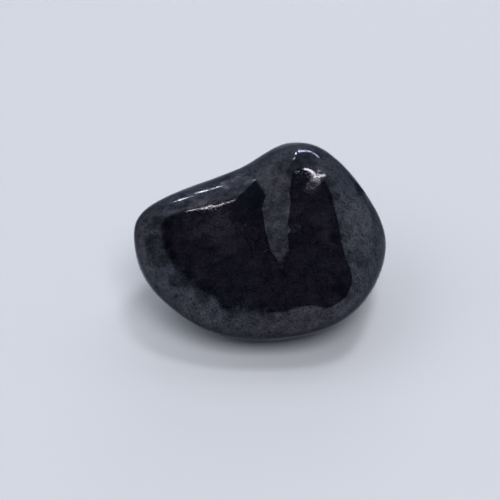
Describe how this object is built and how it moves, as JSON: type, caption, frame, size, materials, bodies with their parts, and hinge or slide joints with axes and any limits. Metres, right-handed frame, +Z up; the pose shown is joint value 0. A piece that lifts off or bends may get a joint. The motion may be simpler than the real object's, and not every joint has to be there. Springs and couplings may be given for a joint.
{
  "type": "tumbled shungite stone",
  "caption": "Small black tumbled stone, glossy and rounded, with a low left shoulder, a raised hump on the right, a valley between them and a level resting face.",
  "frame": {"origin": "middle of the bounding box seen from above, on the level resting face at the bottom", "axes": "+X along the stone towards the end below the hump, +Y to the back, +Z up, square to the resting face"},
  "size_m": [0.0302, 0.024, 0.0184],
  "materials": {
    "shungite": "tumble polished black, glossy, with fine pits, hairline cracks and duller worn patches"
  },
  "bodies": {
    "root": {"stone": "shungite"}
  },
  "joints": []
}
